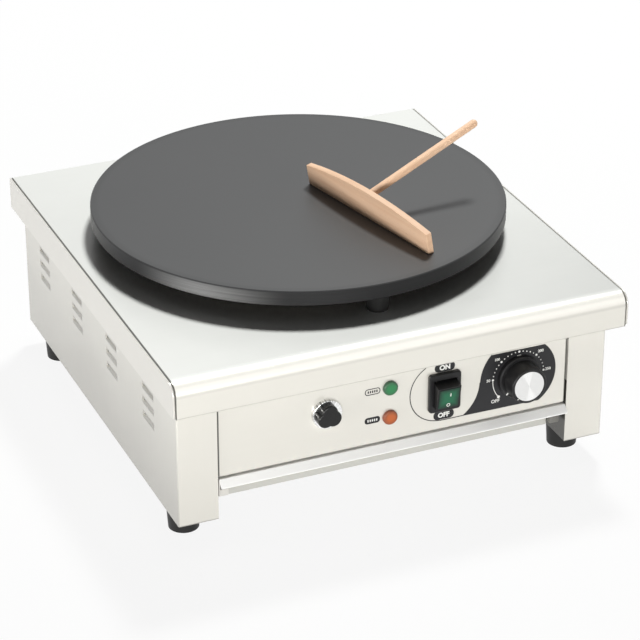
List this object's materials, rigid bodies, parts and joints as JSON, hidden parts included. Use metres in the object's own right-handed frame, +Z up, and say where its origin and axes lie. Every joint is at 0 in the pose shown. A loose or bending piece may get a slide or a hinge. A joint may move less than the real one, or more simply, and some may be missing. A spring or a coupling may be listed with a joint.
{
  "type": "electric crepe maker",
  "caption": "Countertop electric crepe maker: round cast-iron plate on a sheet-steel housing, crumb tray, thermostat knob, rocker switch, lamps, reset button and wooden spreader.",
  "frame": {"origin": "middle of the whole outline, on the surface that the feet stand on", "axes": "+X to the right seen from the front, +Y from the control panel to the rear, +Z up"},
  "size_m": [0.448, 0.47, 0.2828],
  "materials": {
    "brushed_steel": "fine brushed",
    "plain_steel": "mill",
    "zinc_steel": "zinc plated",
    "cast_iron": "machined and seasoned",
    "dark_support": "matt black",
    "element_steel": "heat tinted",
    "mineral_wool": "felted",
    "copper": "drawn",
    "brass": "turned",
    "black_rubber": "matt",
    "black_plastic": "satin",
    "red_plastic": "gloss",
    "cream_ceramic": "matt",
    "green_lens": "translucent",
    "orange_lens": "translucent",
    "bright_aluminium": "spun",
    "chrome": "polished",
    "beech": "bare"
  },
  "bodies": {
    "chassis": {"top_cover": "brushed_steel", "right_end_cap": "brushed_steel", "left_end_cap": "brushed_steel", "right_side_panel": "brushed_steel", "left_side_panel": "brushed_steel", "control_panel": "brushed_steel", "rear_panel": "plain_steel", "rear_screws": "zinc_steel", "panel_screws": "zinc_steel", "base_pan": "plain_steel", "right_tray_rail": "plain_steel", "left_tray_rail": "plain_steel", "rubber_feet": "black_rubber", "foot_screws": "zinc_steel", "foot_nuts": "zinc_steel", "crepe_plate": "cast_iron", "inner_element": "element_steel", "outer_element": "element_steel", "element_clamp": "plain_steel", "insulation": "mineral_wool", "heat_shield": "plain_steel", "clamp_studs": "zinc_steel", "clamp_nuts": "zinc_steel", "plate_supports": "dark_support", "plate_bolts": "zinc_steel", "plate_nuts": "zinc_steel", "sensing_bulb": "copper", "capillary": "copper", "thermostat_body": "black_plastic", "thermostat_screws": "zinc_steel", "switch_housing": "black_plastic", "power_lamp_lens": "green_lens", "power_lamp_body": "black_plastic", "heating_lamp_lens": "orange_lens", "heating_lamp_body": "black_plastic", "limiter_body": "black_plastic", "reset_ring": "chrome", "cable_gland": "black_plastic", "gland_locknut": "black_plastic", "terminal_block": "cream_ceramic", "earth_stud": "brass", "earth_nuts": "brass"},
    "tray": {"crumb_tray": "brushed_steel"},
    "knob": {"knob": "black_plastic", "knob_cap": "bright_aluminium", "thermostat_shaft": "zinc_steel"},
    "rocker": {"switch_rocker": "black_plastic", "rocker_lens": "green_lens"},
    "reset_cap_body": {"reset_cap": "black_plastic"},
    "reset_button_body": {"reset_button": "red_plastic"},
    "spreader": {"spreader_blade": "beech", "spreader_handle": "beech"}
  },
  "joints": [
    {"name": "tray_slide", "type": "slide", "parent": "chassis", "child": "tray", "axis": [0, -1, 0], "range_m": [0, 0.3]},
    {"name": "knob_turn", "type": "hinge", "parent": "chassis", "child": "knob", "pos_m": [0.1253, -0.2105, 0.1057], "axis": [0, 1, 0], "range_deg": [0, 218]},
    {"name": "switch_rock", "type": "hinge", "parent": "chassis", "child": "rocker", "pos_m": [0.0484, -0.21, 0.1069], "axis": [-1, 0, 0], "range_deg": [0, 22.6]},
    {"name": "reset_cap_off", "type": "slide", "parent": "chassis", "child": "reset_cap_body", "axis": [0, -1, 0], "range_m": [0, 0.03]},
    {"name": "reset_press", "type": "slide", "parent": "chassis", "child": "reset_button_body", "axis": [0, 1, 0], "range_m": [0, 0.0015], "stiffness_N_per_m": 400},
    {"name": "spreader_lift", "type": "slide", "parent": "chassis", "child": "spreader", "axis": [0, 0, 1], "range_m": [0, 0.15]}
  ]
}
